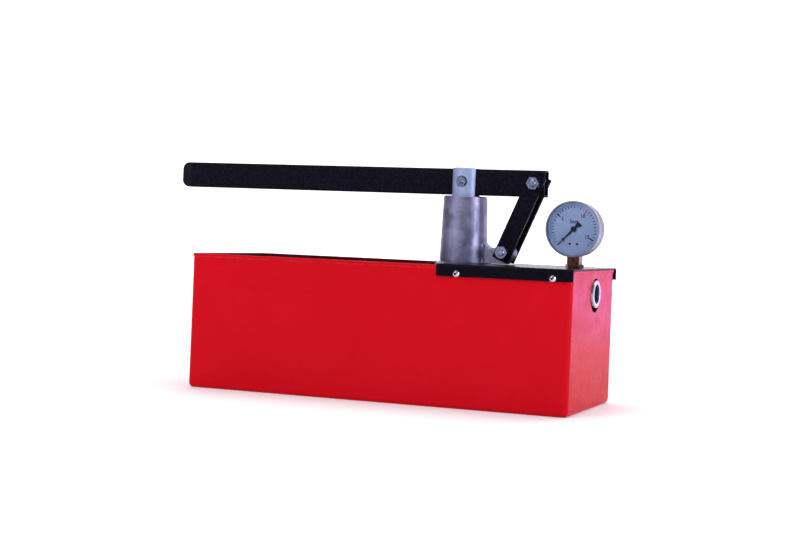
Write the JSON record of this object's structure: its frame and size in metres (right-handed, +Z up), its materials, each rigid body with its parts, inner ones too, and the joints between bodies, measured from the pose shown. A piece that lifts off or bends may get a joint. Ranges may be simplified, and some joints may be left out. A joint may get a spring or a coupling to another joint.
{
  "type": "hydraulic hand pump",
  "caption": "Hand lever pressure-test pump: open red sheet tank, cast column with plunger, black lever on two links, cover plate, dial gauge and threaded outlet.",
  "frame": {"origin": "middle of the tank's flat underside, on the floor", "axes": "+X along the tank towards the outlet, -Y to the gauge's face, +Z up"},
  "size_m": [0.5356, 0.1812, 0.265],
  "materials": {
    "red_paint": "gloss stoved enamel on folded sheet",
    "black_gloss_paint": "gloss",
    "black_textured_paint": "fine-textured powder coat",
    "cast_aluminium": "as cast, lightly fettled",
    "zinc_plated_steel": "bright zinc plate",
    "ground_steel": "ground and polished",
    "bearing_steel": "polished",
    "stainless_steel": "satin",
    "turned_steel": "turned",
    "bronze": "turned",
    "brass": "turned, slightly tarnished",
    "rubber": "moulded",
    "black_plastic": "moulded, fine grain",
    "gauge_case_enamel": "light grey enamel",
    "gauge_bezel_grey": "satin grey",
    "dial_white": "printed white",
    "pointer_black": "matt black",
    "window_glass": "clear"
  },
  "bodies": {
    "tank_and_pump": {"tank": "red_paint", "cover": "black_gloss_paint", "cover_screws": "zinc_plated_steel", "cover_nuts": "zinc_plated_steel", "column": "cast_aluminium", "pump_barrel": "cast_aluminium", "delivery_arm": "cast_aluminium", "floor_studs": "zinc_plated_steel", "foot_washers": "zinc_plated_steel", "foot_nuts": "zinc_plated_steel", "gland_ring": "turned_steel", "guide_bush": "bronze", "plunger_seal": "rubber", "suction_valve_body": "brass", "ball_stop_pin": "stainless_steel", "suction_strainer": "stainless_steel", "delivery_seat": "brass", "delivery_spring": "stainless_steel", "spring_retainer": "stainless_steel", "outlet_fitting": "turned_steel", "release_gland": "brass", "release_oring": "rubber", "gauge_case": "gauge_case_enamel", "gauge_bezel": "gauge_bezel_grey", "gauge_window": "window_glass", "gauge_spacer": "dial_white", "gauge_dial": "dial_white", "dial_screws": "pointer_black", "gauge_stem": "brass", "stem_locknut": "brass", "gauge_movement": "brass", "bourdon_tube": "brass"},
    "plunger": {"plunger": "ground_steel", "plunger_bolt": "zinc_plated_steel", "plunger_nut": "zinc_plated_steel"},
    "links": {"link_front": "black_textured_paint", "link_rear": "black_textured_paint", "upper_pivot_bolt": "zinc_plated_steel", "lower_pivot_bolt": "zinc_plated_steel", "upper_pivot_nut": "zinc_plated_steel", "lower_pivot_nut": "zinc_plated_steel", "pivot_washers": "zinc_plated_steel"},
    "lever": {"handle_tube": "black_textured_paint", "handle_cap": "black_plastic", "handle_sleeve": "zinc_plated_steel"},
    "suction_ball": {"suction_ball": "bearing_steel"},
    "delivery_ball": {"delivery_ball": "bearing_steel"},
    "release_spindle": {"release_spindle": "ground_steel"},
    "release_knob": {"release_knob": "black_plastic"},
    "gauge_pointer": {"gauge_pointer": "pointer_black"},
    "gauge_sector": {"gauge_sector": "brass"}
  },
  "joints": [
    {"name": "link_swing", "type": "hinge", "parent": "tank_and_pump", "child": "links", "pos_m": [0.1225, 0.008, 0.17], "axis": [0, 1, 0], "range_deg": [-6, 0]},
    {"name": "lever_lift", "type": "hinge", "parent": "links", "child": "lever", "pos_m": [0.1565, 0.008, 0.249], "axis": [0, 1, 0], "range_deg": [0, 33]},
    {"name": "plunger_stroke", "type": "slide", "parent": "tank_and_pump", "child": "plunger", "axis": [0, 0, 1], "range_m": [0, 0.043]},
    {"name": "suction_ball_lift", "type": "slide", "parent": "tank_and_pump", "child": "suction_ball", "axis": [0, 0, 1], "range_m": [0, 0.0025]},
    {"name": "delivery_ball_lift", "type": "slide", "parent": "tank_and_pump", "child": "delivery_ball", "axis": [1, 0, 0], "range_m": [0, 0.002], "stiffness_N_per_m": 400, "springref_m": -0.002, "deforming": ["delivery_spring"]},
    {"name": "release_travel", "type": "slide", "parent": "tank_and_pump", "child": "release_spindle", "axis": [-1, 0, 0], "range_m": [0, 0.0015]},
    {"name": "release_turn", "type": "hinge", "parent": "release_spindle", "child": "release_knob", "pos_m": [0.0805, -0.034, 0.1283], "axis": [-1, 0, 0], "range_deg": [0, 370]},
    {"name": "gauge_needle", "type": "hinge", "parent": "tank_and_pump", "child": "gauge_pointer", "pos_m": [0.2036, -0.0018, 0.1996], "axis": [0, 1, 0], "range_deg": [0, 270], "stiffness_Nm_per_rad": 0.0005, "springref_deg": -22.92},
    {"name": "gauge_sector_swing", "type": "hinge", "parent": "tank_and_pump", "child": "gauge_sector", "pos_m": [0.2036, 0.0038, 0.1886], "axis": [0, 1, 0], "range_deg": [-46.5, 0]}
  ],
  "couplings": [
    {"joint": "link_swing", "follows": "lever_lift", "ratio": -0.1692},
    {"joint": "plunger_stroke", "follows": "lever_lift", "m_per_rad": 0.07389},
    {"joint": "release_turn", "follows": "release_travel", "rad_per_m": 4188.8},
    {"joint": "gauge_sector_swing", "follows": "gauge_needle", "ratio": -0.17131}
  ]
}
